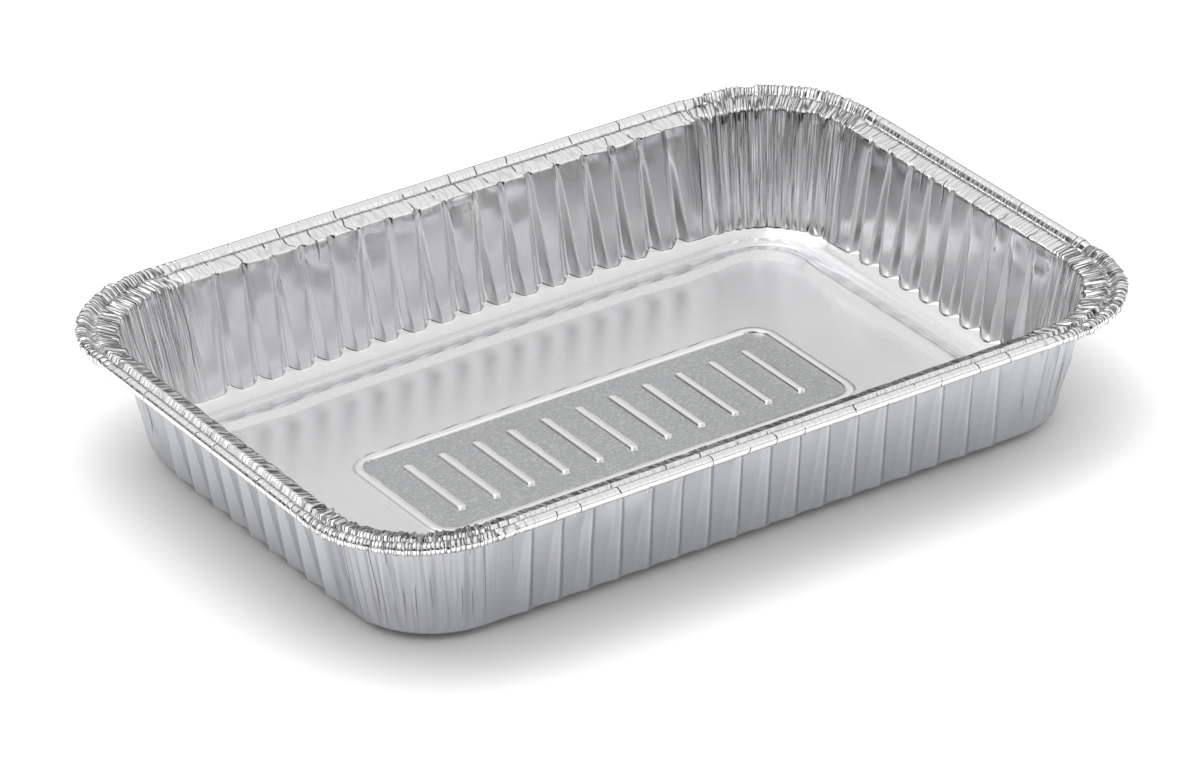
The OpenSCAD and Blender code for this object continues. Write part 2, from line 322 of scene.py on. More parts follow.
# Section of the sheet's inner side, from the foot of the wall to the end of the bead. Each station is
# [inset, height, share of the way up the wall, how far pleats are pressed in, and how far it is
# gathered, streaked, dented and creased]
bead_height = pan_height - bead_radius
flange_height = pan_height - flange_drop - flange_rise / 2
wall_top_inset = flange_inner + shoulder_radius
wall_top = flange_height - shoulder_radius
foot_height = (band_foot_inset - foot_inset) * band_slope + thickness
foot_margin = 0.3 * mm
wall_shares = (0, 0.02, 0.06, 0.11, 0.19, 0.29, 0.4, 0.51, 0.62, 0.73, 0.83, 0.92, 1)
stations = [(foot_inset + foot_margin, foot_height - foot_margin * band_slope, 0, 1, 0, 0, 0, 0)]
for share in wall_shares:
    stations.append((
        foot_inset + (wall_top_inset - foot_inset) * share,
        foot_height + (wall_top - foot_height) * share, share, 1,
        min(1, 0.15 + share * 9) * (1 - 0.3 * share), min(1, share * 2), max(0, 1.6 * share - 0.7),
        max(0, 4 * share - 3.4),
    ))
for bend in (22, 45, 68, 90):
    a = math.radians(bend)
    share = bend / 90
    stations.append((
        wall_top_inset - shoulder_radius * (1 - math.cos(a)), wall_top + shoulder_radius * math.sin(a),
        1, 1 - share, 0.6 * (1 - share), 1 - 0.5 * share, 0.5 * (1 - share), 0.7 + 0.3 * share,
    ))
for share in (0.33, 0.67, 1):
    stations.append((
        flange_inner + (flange_outer - flange_inner) * share, flange_height + flange_rise * share,
        1, 0, 0, 0.5, 0, 1,
    ))
groove_bottom = pan_height - groove_depth
bead_turns = (30, 55, 80, 105, 130, 155, 180, 210, 250, 300)
bead_inner = bead_radius * (1 + math.cos(math.radians(bead_turns[0])))
bead_inner_height = bead_height + bead_radius * math.sin(math.radians(bead_turns[0]))
for inset, height in (
        ((flange_outer + groove_middle) / 2, groove_bottom + 0.2 * (flange_height - groove_bottom)),
        (groove_middle, groove_bottom),
        ((groove_middle + bead_inner) / 2, (groove_bottom + bead_inner_height) / 2)):
    stations.append((inset, height, 1, 0, 0, 0, 0, 1))
first_bead_station = len(stations)
for bead_turn in bead_turns:
    a = math.radians(bead_turn)
    stations.append((
        bead_radius * (1 + math.cos(a)), bead_height + bead_radius * math.sin(a), 1, 0, 0, 0, 0, 0.9,
    ))
stations = np.array(stations)
# The bead's inside isn't seen, so the outer skin leaves out these of its stations
hidden_in_bead = [first_bead_station + i for i in (1, 2, 4, 5, 6, 8)]

# Creases are wider on the straight sides than in the corners, and longer on the walls than on the rim.
# The straight sides keep a small share of the corners' creases, the bead the least
side_crease_rate = 0.4
wall_crease_rate = 0.35
side_share = 0.22
bead_side_share = 0.1
side_streak_share = 0.12
wall_line_share = 0.4
outer_line_share = 0.3
count = len(rows)
section = np.column_stack([-stations[:, 0], stations[:, 1]])
steps = np.hypot(*np.diff(section, axis=0).T)
on_wall = stations[:-1, 2] < 1
across = np.concatenate([[0], np.cumsum(np.where(on_wall, wall_crease_rate, 1) * steps)])
ahead = np.gradient(section, axis=0)
ahead /= np.hypot(*ahead.T)[:, None]
lifts = np.column_stack([-ahead[:, 1], ahead[:, 0]])
reference = loop_xy(wall_top_inset)
hops = np.hypot(*(reference - np.roll(reference, 1, axis=0)).T)
around_rim = np.cumsum(np.where(in_corner, 1, side_crease_rate) * hops)
corner_share = np.where(in_corner, 1, np.clip(np.abs(gaps), 0, 1))
flat = np.zeros(count)


def wall_skin(station_numbers, sunk):
    """Points and values of the wall and rim at these stations, sunk below the inner side by a distance."""
    given = {name: [] for name in (
        "points", "outward", "sideways", "lift", "footprint", "pleat", "slide", "bow", "number", "rise",
        "press", "gathered", "streaked", "dented", "creased", "lined", "grainy", "dull")}
    for i in station_numbers:
        inset, z, rise, press_share, gathered, streaked, dented, creased = stations[i]
        inward, upward = lifts[i]
        lift = np.column_stack([outward * inward, flat + upward])
        given["points"].append(np.column_stack([loop_xy(inset), flat + z]) - lift * sunk)
        given["outward"].append(np.column_stack([outward, flat]))
        given["sideways"].append(np.column_stack([sideways, flat]))
        given["lift"].append(lift)
        given["footprint"].append(np.column_stack([around_rim, flat + across[i], flat]))
        given["pleat"].append(pleats)
        given["slide"].append(slides)
        given["bow"].append(bows)
        given["number"].append(pleat_numbers + 40 * sides)
        given["rise"].append(flat + rise)
        given["press"].append(flat + press_share)
        given["gathered"].append(corner_share ** 2 * gathered)
        given["streaked"].append((side_streak_share + (1 - side_streak_share) * corner_share) * streaked)
        given["dented"].append((1 - corner_share) * dented)
        on_sides = bead_side_share if i >= first_bead_station else side_share
        own_creases = (on_sides + (1 - on_sides) * corner_share) * creased
        given["creased"].append(own_creases)
        lined = np.maximum(own_creases, wall_line_share * corner_share * streaked)
        given["lined"].append(lined * (outer_line_share if sunk else 1))
        given["grainy"].append(flat)
        given["dull"].append(flat + (sunk > 0))
    return given


def wall_faces(rings, first_point, turned):
    """Faces between rings of points that follow one another, facing the other way where turned."""
    found = []
    for ring in range(rings - 1):
        a, b = first_point + ring * count, first_point + (ring + 1) * count
        for j in range(count):
            n = (j + 1) % count
            face = (a + j, b + j, b + n, a + n)
            found.append(face[::-1] if turned else face)
    return found


# Floor
#
# Inside the walls the foil slopes down to the floor, which has one raised ring near the walls and a
# ribbed panel in the middle. They keep the thin floor from bending. Its loops are divided less finely.

ring_inset = 23.9 * mm
ring_height = 1.25 * mm
ring_corner_bulge = 1.5 * mm
ring_dip = (0.4 * mm, 0.9 * mm)
ring_dip_place = 13 * mm
ring_dip_width = 7 * mm

panel_length = 117 * mm
panel_width = 44 * mm
panel_radius = 7 * mm
rib_width = 2.6 * mm
rib_pitch = 9.4 * mm
rib_length = 26 * mm
ribs_beside = 5
floor_grain = 0.15
band_crease_half = 0.2 * mm
band_crease_depth = 0.12 * mm

coarse_side = (22, 40)
coarse_corner = 24


def rounded_rectangle(half_x, half_y, radius):
    """Points round a rounded rectangle, the order of each, the side distance and whether in a corner."""
    found = []
    halves = (half_x, half_y)
    for k in range(4):
        own, other = halves[k % 2] - radius, halves[(k + 1) % 2] - radius
        out = Vector((math.cos(quarter * k), math.sin(quarter * k)))
        on = Vector((-out.y, out.x))
        n = coarse_side[k % 2]
        for i in range(n):
            along = other * (2 * i / n - 1)
            found.append((out * (own + radius) + on * along, 2 * k + i / n, out, other - abs(along), k, 0))
        for m in range(coarse_corner):
            a = quarter * m / coarse_corner
            way = out * math.cos(a) + on * math.sin(a)
            found.append((out * own + on * other + way * radius, 2 * k + 1 + m / coarse_corner, way, 0, k,
                          math.sin(2 * a)))
    return found


def floor_loop(inset, wander=0):
    """A floor loop. Wander is how far it follows the ring's swing out at the corners and in beside them."""
    loop = []
    for xy, order, way, room, k, cornered in rounded_rectangle(
            reach[0] - inset, reach[1] - inset, corner_radius(inset)):
        dip = ring_dip[k % 2] * math.exp(-((room - ring_dip_place) / ring_dip_width) ** 2)
        dip = 0 if cornered else dip
        shift = wander * (ring_corner_bulge * cornered - dip)
        loop.append((xy + way * shift, order))
    return loop


def stitch(inner, inner_orders, outer, outer_orders):
    """Triangles between two loops of indices whose orders round the pan run from 0 to 8."""
    found, i, j = [], 0, 0
    a, b = len(inner), len(outer)
    while i < a or j < b:
        ahead_i = inner_orders[i % a] + inner_orders[(i + 1) % a] + 8 * ((i >= a) + (i + 1 >= a))
        ahead_j = outer_orders[j % b] + outer_orders[(j + 1) % b] + 8 * ((j >= b) + (j + 1 >= b))
        if j >= b or (i < a and ahead_i <= ahead_j):
            found.append((inner[i % a], outer[j % b], inner[(i + 1) % a]))
            i += 1
        else:
            found.append((inner[i % a], outer[j % b], outer[(j + 1) % b]))
            j += 1
    return found


half_straights = np.array([straight(k, foot_inset) for k in sides])
side_along = alongs + np.where(gaps < 0, -1, 1) * np.abs(gaps) * (half_straights - np.abs(alongs))
wall_orders = np.where(in_corner, 2 * sides + 1 + angles,
                       2 * sides + (side_along / half_straights + 1) / 2)
first = int(np.argmin(wall_orders))
floor_points = []


def band_height(inset):
    """The height of the sloping band at the foot of the walls, and of the floor inside it."""
    return thickness + max(0, band_foot_inset - inset) * band_slope


# The ring's profile is [distance in from its middle in mm, share of its height]
ring_profile = ((-3.6, 0), (-3.1, 0.07), (-1.9, 0.5), (-0.6, 0.96), (-0.15, 1), (0.35, 1), (0.8, 0.95),
                (2.5, 0.1), (3.1, 0))
floor_stations = [
    (band_crease_inset - band_crease_half, band_height(band_crease_inset - band_crease_half), 0),
    (band_crease_inset, band_height(band_crease_inset) - band_crease_depth, 0),
    (band_crease_inset + band_crease_half, band_height(band_crease_inset + band_crease_half), 0),
    (band_foot_inset - 0.35 * mm, band_height(band_foot_inset - 0.35 * mm), 0),
    (band_foot_inset + 0.1 * mm, thickness + 0.03 * mm, 0.1),
    (band_foot_inset + 0.6 * mm, thickness, 0.3),
]
for offset, share in ring_profile:
    floor_stations.append((ring_inset + offset * mm, thickness + ring_height * share, 1))
loops = []
for inset, z, wander in floor_stations:
    loop = floor_loop(inset, wander)
    start = len(floor_points)
    floor_points += [(xy.x, xy.y, z) for xy, order in loop]
    loops.append((list(range(start, start + len(loop))), [order for xy, order in loop]))
ring_foot = [xy for xy, order in loop]

# Loops from the ring's foot to the panel, then across the panel's frame and just inside it
panel_edge = rounded_rectangle(panel_length / 2, panel_width / 2, panel_radius)
steps_to_panel = (0.17, 0.33, 0.5, 0.67, 0.84, 0.985)
for mix in steps_to_panel:
    start = len(floor_points)
    for outer_xy, inner in zip(ring_foot, panel_edge):
        xy = outer_xy.lerp(inner[0], mix)
        floor_points.append((xy.x, xy.y, thickness))
    loops.append((list(range(start, start + len(ring_foot))), [p[1] for p in panel_edge]))
frame_steps = (0, 0.05, 0.11, 0.16, 0.5, 0.84, 0.89, 0.95, 1, 1.08)
for share in frame_steps:
    inset = rib_width * share
    start = len(floor_points)
    ring = rounded_rectangle(panel_length / 2 - inset, panel_width / 2 - inset, panel_radius - inset)
    floor_points += [(p[0].x, p[0].y, thickness) for p in ring]
    loops.append((list(range(start, start + len(ring))), [p[1] for p in ring]))

floor_faces = []
for (outer_loop, outer_orders), (inner_loop, inner_orders) in zip(loops, loops[1:]):
    n = len(outer_loop)
    for j in range(n):
        floor_faces.append((inner_loop[j], outer_loop[j], outer_loop[(j + 1) % n], inner_loop[(j + 1) % n]))

# Columns and cross lines of points inside the panel, close together at the edges of each rib
column_steps = (-0.58, -0.5, -0.45, -0.39, -0.34, 0, 0.34, 0.39, 0.45, 0.5, 0.58)
columns = [i * rib_pitch + s * rib_width for i in range(-ribs_beside, ribs_beside + 1) for s in column_steps]
margin = 1.2 * mm
columns = [columns[0] - margin] + columns + [columns[-1] + margin]
end_steps = (-0.08, 0, 0.05, 0.11, 0.18, 0.3, 0.5, 0.7)
ends = [rib_length / 2 - s * rib_width for s in end_steps]
far_lines = [rib_length / 2 + margin] + ends
middle_line = 0.17 * rib_length
cross_lines = sorted([-y for y in far_lines] + [-middle_line, middle_line] + far_lines)
start = len(floor_points)
floor_points += [(x, y, thickness) for x in columns for y in cross_lines]
down, wide = len(cross_lines), len(columns)
for i in range(wide - 1):
    for j in range(down - 1):
        c = start + i * down + j
        floor_faces.append((c, c + down, c + down + 1, c + 1))

# The edge of the panel's grid of points, in order round the pan, is stitched to the panel's frame
last = start + (wide - 1) * down
edge_index = [last + j for j in range(1, down - 1)]
edge_order = [j / (down - 1) for j in range(1, down - 1)]
edge_index += [last + down - 1]
edge_order += [1.5]
edge_index += [start + i * down + down - 1 for i in range(wide - 2, 0, -1)]
edge_order += [3 - i / (wide - 1) for i in range(wide - 2, 0, -1)]
edge_index += [start + down - 1]
edge_order += [3.5]
edge_index += [start + j for j in range(down - 2, 0, -1)]
edge_order += [5 - j / (down - 1) for j in range(down - 2, 0, -1)]
edge_index += [start]
edge_order += [5.5]
edge_index += [start + i * down for i in range(1, wide - 1)]
edge_order += [6 + i / (wide - 1) for i in range(1, wide - 1)]
edge_index += [last]
edge_order += [7.5]
floor_faces += stitch(edge_index, edge_order, loops[-1][0], loops[-1][1])
floor_points = np.array(floor_points)
floor_count = len(floor_points)
dense = [(first + j) % count for j in range(count)]

# The inner side, then the outer side, which lies one thickness below it and faces the other way
faces, parts, begins = [], [], []
upper_stations = list(range(len(stations)))
lower_stations = [i for i in upper_stations if i not in hidden_in_bead]
for station_numbers, sunk, turned in ((upper_stations, 0, False), (lower_stations, thickness, True)):
    wall_start = sum(len(part["points"]) for part in parts)
    begins.append((wall_start, len(station_numbers)))
    wall = {name: np.concatenate(value) for name, value in wall_skin(station_numbers, sunk).items()}
    floor_start = wall_start + len(wall["points"])
    bottom = {name: np.zeros((floor_count,) + value.shape[1:]) for name, value in wall.items()}
    bottom["points"] = floor_points - (0, 0, sunk)
    bottom["footprint"] = floor_points
    bottom["grainy"] = np.full(floor_count, floor_grain)
    bottom["dull"] = np.full(floor_count, float(sunk > 0))
    parts += [wall, bottom]
    faces += wall_faces(len(station_numbers), wall_start, turned)
    floor_side = [tuple(floor_start + v for v in face) for face in floor_faces]
    floor_side += stitch([floor_start + v for v in loops[0][0]], loops[0][1],
                         [wall_start + v for v in dense], [wall_orders[v] for v in dense])
    faces += [face[::-1] if turned else face for face in floor_side]

# The cut edge, inside the bead, joins the two sides
(upper_start, upper_count), (lower_start, lower_count) = begins
upper_edge = upper_start + (upper_count - 1) * count
lower_edge = lower_start + (lower_count - 1) * count
for j in range(count):
    n = (j + 1) % count
    faces.append((upper_edge + j, lower_edge + j, lower_edge + n, upper_edge + n))

# The values of each point that the trees and the foil's material read go onto the mesh as attributes
mesh = bpy.data.meshes.new("foil_sheet")
mesh.from_pydata(np.concatenate([part["points"] for part in parts]).tolist(), [], faces)
for name in parts[0]:
    value = np.concatenate([part[name] for part in parts]).astype(np.float32)
    if name != "points":
        kind, field = ("FLOAT_VECTOR", "vector") if value.ndim == 2 else ("FLOAT", "value")
        mesh.attributes.new(name, kind, "POINT").data.foreach_set(field, value.ravel())
mesh.shade_smooth()
sheet = bpy.data.objects.new("foil_sheet", mesh)
bpy.context.scene.collection.objects.link(sheet)


# Pleats
#
# The die pleats the wall so that it stands stiff. A pleat is a narrow ridge that stands out of the wall
# at its foot and runs out towards the rim, and the wall between two pleats stays a flat pillar.

def start_tree(name, sockets):
    """A geometry tree with a geometry input, the named inputs and their values, and a geometry output."""
    tree = bpy.data.node_groups.new(name, "GeometryNodeTree")
    tree.interface.new_socket("Geometry", in_out="INPUT", socket_type="NodeSocketGeometry")
    for socket_name, kind, value in sockets:
        socket = tree.interface.new_socket(socket_name, in_out="INPUT", socket_type=kind)
        if value is not None:
            socket.default_value = value
    tree.interface.new_socket("Geometry", in_out="OUTPUT", socket_type="NodeSocketGeometry")
    return tree


def press(piece, tree, offset, amounts, start=None):
    """Ends a tree that moves the sheet by offset, and applies it to the piece with the given amounts."""
    if "done" not in tree.nodes:
        given = tree.nodes["given"].outputs
        moved = add(tree, "GeometryNodeSetPosition", {}, {
            "Geometry": start or given["Geometry"], "Offset": offset,
        })
        real = add(tree, "GeometryNodeRealizeInstances", {}, {"Geometry": moved})
        clad = add(tree, "GeometryNodeSetMaterial", {}, {"Geometry": real, "Material": given["Foil"]})
        add(tree, "NodeGroupOutput", {"name": "done"}, {"Geometry": clad})
    modifier = piece.modifiers.new(tree.name, "NODES")
    modifier.node_group = tree
    identifiers = {item.name: item.identifier for item in tree.interface.items_tree if item.in_out == "INPUT"}
    for name, value in amounts.items():
        modifier[identifiers[name]] = value


flutes = start_tree("press_pleats", [
    ("Depth at the foot", "NodeSocketFloat", 2.3 * mm),
    ("Depth at the top", "NodeSocketFloat", 0.5 * mm),
    ("Toe share", "NodeSocketFloat", 0.11),
    ("Toe hollow", "NodeSocketFloat", 2.2),
    ("Pleat width", "NodeSocketFloat", pleat_width),
    ("Width left at the top", "NodeSocketFloat", 0.36),
    ("Foot slope", "NodeSocketFloat", band_slope),
    ("Seed", "NodeSocketInt", 3),
    ("Foil", "NodeSocketMaterial", None),
])
given = add(flutes, "NodeGroupInput", {"name": "given"}).outputs
own = {name: add(flutes, "GeometryNodeInputNamedAttribute", {"data_type": "FLOAT"}, {"Name": name}).outputs[0]
       for name in ("pleat", "slide", "bow", "number", "rise", "press")}
way = {name: add(flutes, "GeometryNodeInputNamedAttribute", {"data_type": "FLOAT_VECTOR"},
                 {"Name": name}).outputs[0] for name in ("outward", "sideways")}
flank = add(flutes, "ShaderNodeMapRange", {}, {"Value": own["pleat"], "From Min": 0.05, "From Max": 0.88})
toe = add(flutes, "ShaderNodeMath", {"operation": "POWER"}, {0: own["bow"], 1: given["Toe hollow"]})
above_toe = add(flutes, "ShaderNodeMapRange", {}, {"Value": own["rise"], "From Max": given["Toe share"]})
profile = add(flutes, "ShaderNodeMix", {"data_type": "FLOAT"}, {
    "Factor": above_toe.outputs[0], "A": toe.outputs[0], "B": flank.outputs[0],
})
luck = add(flutes, "FunctionNodeRandomValue", {"data_type": "FLOAT"}, {
    "Min": 0.3, "Max": 1.6, "ID": own["number"], "Seed": given["Seed"],
})
lucky_top = add(flutes, "ShaderNodeMath", {"operation": "MULTIPLY"}, {
    0: given["Depth at the top"], 1: luck.outputs[1],
})
depth = add(flutes, "ShaderNodeMapRange", {}, {
    "Value": own["rise"], "To Min": given["Depth at the foot"], "To Max": lucky_top,
})
pressed = add(flutes, "ShaderNodeMath", {"operation": "MULTIPLY"}, {0: profile, 1: own["press"]})
out_by = add(flutes, "ShaderNodeMath", {"operation": "MULTIPLY"}, {0: pressed, 1: depth})
narrowing = add(flutes, "ShaderNodeMapRange", {}, {
    "Value": own["rise"], "To Min": 1.0, "To Max": given["Width left at the top"],
})
left = add(flutes, "ShaderNodeMath", {"operation": "SUBTRACT"}, {0: 1.0, 1: narrowing})
half_left = add(flutes, "ShaderNodeMath", {"operation": "MULTIPLY"}, {0: left, 1: given["Pleat width"]})
halved = add(flutes, "ShaderNodeMath", {"operation": "MULTIPLY"}, {0: half_left, 1: 0.5})
slid = add(flutes, "ShaderNodeMath", {"operation": "MULTIPLY"}, {0: own["slide"], 1: halved})
slide_by = add(flutes, "ShaderNodeMath", {"operation": "MULTIPLY"}, {0: slid, 1: own["press"]})
below = add(flutes, "ShaderNodeMath", {"operation": "SUBTRACT"}, {0: 1.0, 1: own["rise"]})
foot_out = add(flutes, "ShaderNodeMath", {"operation": "MULTIPLY"}, {
    0: pressed, 1: given["Depth at the foot"],
})
foot_up = add(flutes, "ShaderNodeMath", {"operation": "MULTIPLY"}, {0: foot_out, 1: given["Foot slope"]})
up_by = add(flutes, "ShaderNodeMath", {"operation": "MULTIPLY"}, {0: foot_up, 1: below})
out_offset = add(flutes, "ShaderNodeVectorMath", {"operation": "SCALE"}, {0: way["outward"], "Scale": out_by})
side_offset = add(flutes, "ShaderNodeVectorMath", {"operation": "SCALE"}, {
    0: way["sideways"], "Scale": slide_by,
})
up_offset = add(flutes, "ShaderNodeCombineXYZ", {}, {"Z": up_by})
level_offset = add(flutes, "ShaderNodeVectorMath", {"operation": "ADD"}, {0: out_offset, 1: side_offset})
whole_offset = add(flutes, "ShaderNodeVectorMath", {"operation": "ADD"}, {0: level_offset, 1: up_offset})
press(sheet, flutes, whole_offset, {"Foil": foil})


# Creases
#
# The corners hold more foil than they need, so it gathers into uneven upright folds there, which run
# over the shoulder into close creases on the flange and nicks in the bead. The sides crease less.

creasing = start_tree("crease_foil", [
    ("Where", "NodeSocketString", "creased"),
    ("Width", "NodeSocketFloat", 1.3 * mm),
    ("Length", "NodeSocketFloat", 9 * mm),
    ("Depth", "NodeSocketFloat", 0.4 * mm),
    ("Patch size", "NodeSocketFloat", 12 * mm),
    ("Least", "NodeSocketFloat", 0.5),
    ("Seed", "NodeSocketFloat", 0.0),
    ("Foil", "NodeSocketMaterial", None),
])
given = add(creasing, "NodeGroupInput", {"name": "given"}).outputs
around = add(creasing, "GeometryNodeInputNamedAttribute", {"data_type": "FLOAT_VECTOR"},
             {"Name": "footprint"}).outputs[0]
where = add(creasing, "GeometryNodeInputNamedAttribute", {"data_type": "FLOAT"},
            {"Name": given["Where"]}).outputs[0]
lift_way = add(creasing, "GeometryNodeInputNamedAttribute", {"data_type": "FLOAT_VECTOR"},
               {"Name": "lift"}).outputs[0]
size = add(creasing, "ShaderNodeCombineXYZ", {}, {0: given["Width"], 1: given["Length"], 2: 1.0})
in_widths = add(creasing, "ShaderNodeVectorMath", {"operation": "DIVIDE"}, {0: around, 1: size})
seed_step = add(creasing, "ShaderNodeVectorMath", {"operation": "SCALE"}, {
    0: (3.7, 5.3, 2.9), "Scale": given["Seed"],
})
place = add(creasing, "ShaderNodeVectorMath", {"operation": "ADD"}, {0: in_widths, 1: seed_step})
cells = add(creasing, "ShaderNodeTexVoronoi", {"voronoi_dimensions": "2D", "feature": "F1"}, {
    "Vector": place, "Scale": 1.0, "Randomness": 1.0,
}).outputs["Distance"]
folded = add(creasing, "ShaderNodeMath", {"operation": "SUBTRACT"}, {0: 0.4, 1: cells})
patch_size = add(creasing, "ShaderNodeCombineXYZ", {}, {0: given["Patch size"], 1: given["Length"], 2: 1.0})
in_patches = add(creasing, "ShaderNodeVectorMath", {"operation": "DIVIDE"}, {0: around, 1: patch_size})
patch_place = add(creasing, "ShaderNodeVectorMath", {"operation": "ADD"}, {0: in_patches, 1: seed_step})
patches = add(creasing, "ShaderNodeTexNoise", {}, {"Vector": patch_place, "Scale": 1.0, "Detail": 1.0})
uneven = add(creasing, "ShaderNodeMapRange", {}, {
    "Value": patches, "From Min": 0.42, "From Max": 0.62, "To Min": given["Least"], "To Max": 1.0,
})
deep = add(creasing, "ShaderNodeMath", {"operation": "MULTIPLY"}, {0: folded, 1: given["Depth"]})
here_deep = add(creasing, "ShaderNodeMath", {"operation": "MULTIPLY"}, {0: deep, 1: where})
patchy = add(creasing, "ShaderNodeMath", {"operation": "MULTIPLY"}, {0: here_deep, 1: uneven})
crease_offset = add(creasing, "ShaderNodeVectorMath", {"operation": "SCALE"}, {0: lift_way, "Scale": patchy})
for amounts in (
        {"Where": "gathered", "Width": 3.0 * mm, "Length": 60 * mm,
         "Depth": 2.6 * mm, "Least": 0.5, "Seed": 1.0},
        {"Where": "streaked", "Width": 1.7 * mm, "Length": 12 * mm,
         "Depth": 2.0 * mm, "Least": 0.3, "Seed": 2.0},
        {"Where": "dented", "Width": 1.3 * mm, "Length": 3 * mm,
         "Depth": 1.8 * mm, "Least": 0.0, "Seed": 3.0},
        {"Where": "creased", "Width": 1.1 * mm, "Length": 11 * mm,
         "Depth": 1.2 * mm, "Least": 0.3, "Seed": 4.0}):
    press(sheet, creasing, crease_offset, {**amounts, "Foil": foil})


# Stiffening panel
#
# A frame and a row of cross ribs, pressed up into the floor. Each rib is round on top, and its ends are
# round as the punch leaves them. Their height falls off evenly with the distance from the middle line.

ribs = start_tree("press_ribs", [
    ("Panel length", "NodeSocketFloat", panel_length),
    ("Panel width", "NodeSocketFloat", panel_width),
    ("Panel radius", "NodeSocketFloat", panel_radius),
    ("Rib width", "NodeSocketFloat", rib_width),
    ("Rib height", "NodeSocketFloat", 0.7 * mm),
    ("Flat share", "NodeSocketFloat", 0.72),
    ("Rib pitch", "NodeSocketFloat", rib_pitch),
    ("Rib length", "NodeSocketFloat", rib_length),
    ("Ribs on each side", "NodeSocketFloat", float(ribs_beside)),
    ("Foil", "NodeSocketMaterial", None),
])
given = add(ribs, "NodeGroupInput", {"name": "given"}).outputs
spot = add(ribs, "ShaderNodeSeparateXYZ", {}, {0: add(ribs, "GeometryNodeInputPosition")})
far_x = add(ribs, "ShaderNodeMath", {"operation": "ABSOLUTE"}, {0: spot.outputs[0]})
far_y = add(ribs, "ShaderNodeMath", {"operation": "ABSOLUTE"}, {0: spot.outputs[1]})
half_rib = add(ribs, "ShaderNodeMath", {"operation": "MULTIPLY"}, {0: given["Rib width"], 1: 0.5})
overs = []
for far, size in ((far_x, "Panel length"), (far_y, "Panel width")):
    half_size = add(ribs, "ShaderNodeMath", {"operation": "MULTIPLY"}, {0: given[size], 1: 0.5})
    core = add(ribs, "ShaderNodeMath", {"operation": "SUBTRACT"}, {0: half_size, 1: given["Panel radius"]})
    overs.append(add(ribs, "ShaderNodeMath", {"operation": "SUBTRACT"}, {0: far, 1: core}))
positive = [add(ribs, "ShaderNodeMath", {"operation": "MAXIMUM"}, {0: over, 1: 0.0}) for over in overs]
square = [add(ribs, "ShaderNodeMath", {"operation": "MULTIPLY"}, {0: over, 1: over}) for over in positive]
both = add(ribs, "ShaderNodeMath", {"operation": "ADD"}, {0: square[0], 1: square[1]})
outside = add(ribs, "ShaderNodeMath", {"operation": "SQRT"}, {0: both})
larger = add(ribs, "ShaderNodeMath", {"operation": "MAXIMUM"}, {0: overs[0], 1: overs[1]})
inside = add(ribs, "ShaderNodeMath", {"operation": "MINIMUM"}, {0: larger, 1: 0.0})
round_box = add(ribs, "ShaderNodeMath", {"operation": "ADD"}, {0: outside, 1: inside})
middle_radius = add(ribs, "ShaderNodeMath", {"operation": "SUBTRACT"}, {
    0: given["Panel radius"], 1: half_rib,
})
from_frame = add(ribs, "ShaderNodeMath", {"operation": "SUBTRACT"}, {0: round_box, 1: middle_radius})
frame_far = add(ribs, "ShaderNodeMath", {"operation": "ABSOLUTE"}, {0: from_frame})
step = add(ribs, "ShaderNodeMath", {"operation": "DIVIDE"}, {0: spot.outputs[0], 1: given["Rib pitch"]})
nearest = add(ribs, "ShaderNodeMath", {"operation": "ROUND"}, {0: step})
fewest = add(ribs, "ShaderNodeMath", {"operation": "MULTIPLY"}, {0: given["Ribs on each side"], 1: -1.0})
at_most = add(ribs, "ShaderNodeMath", {"operation": "MINIMUM"}, {0: nearest, 1: given["Ribs on each side"]})
at_least = add(ribs, "ShaderNodeMath", {"operation": "MAXIMUM"}, {0: at_most, 1: fewest})
rib_x = add(ribs, "ShaderNodeMath", {"operation": "MULTIPLY"}, {0: at_least, 1: given["Rib pitch"]})
beside = add(ribs, "ShaderNodeMath", {"operation": "SUBTRACT"}, {0: spot.outputs[0], 1: rib_x})
half_length = add(ribs, "ShaderNodeMath", {"operation": "MULTIPLY"}, {0: given["Rib length"], 1: 0.5})
rib_core = add(ribs, "ShaderNodeMath", {"operation": "SUBTRACT"}, {0: half_length, 1: half_rib})
past_end = add(ribs, "ShaderNodeMath", {"operation": "SUBTRACT"}, {0: far_y, 1: rib_core})
past = add(ribs, "ShaderNodeMath", {"operation": "MAXIMUM"}, {0: past_end, 1: 0.0})
beside_square = add(ribs, "ShaderNodeMath", {"operation": "MULTIPLY"}, {0: beside, 1: beside})
past_square = add(ribs, "ShaderNodeMath", {"operation": "MULTIPLY"}, {0: past, 1: past})
rib_square = add(ribs, "ShaderNodeMath", {"operation": "ADD"}, {0: beside_square, 1: past_square})
rib_far = add(ribs, "ShaderNodeMath", {"operation": "SQRT"}, {0: rib_square})
closest = add(ribs, "ShaderNodeMath", {"operation": "MINIMUM"}, {0: frame_far, 1: rib_far})
rib_share = add(ribs, "ShaderNodeMath", {"operation": "DIVIDE"}, {0: closest, 1: half_rib})
rib_profile = add(ribs, "ShaderNodeMapRange", {"interpolation_type": "SMOOTHSTEP"}, {
    "Value": rib_share, "From Min": 1.0, "From Max": given["Flat share"], "To Min": 0.0, "To Max": 1.0,
})
rib_up = add(ribs, "ShaderNodeMath", {"operation": "MULTIPLY"}, {0: rib_profile, 1: given["Rib height"]})
rib_offset = add(ribs, "ShaderNodeCombineXYZ", {}, {"Z": rib_up})
in_panel = add(ribs, "ShaderNodeMath", {"operation": "LESS_THAN"}, {0: from_frame, 1: 0.0})
beyond_rib = add(ribs, "ShaderNodeMath", {"operation": "GREATER_THAN"}, {0: rib_share, 1: 0.9})
pressed_grain = add(ribs, "ShaderNodeMath", {"operation": "MULTIPLY"}, {0: in_panel, 1: beyond_rib})
was_grainy = add(ribs, "GeometryNodeInputNamedAttribute", {"data_type": "FLOAT"},
                 {"Name": "grainy"}).outputs[0]
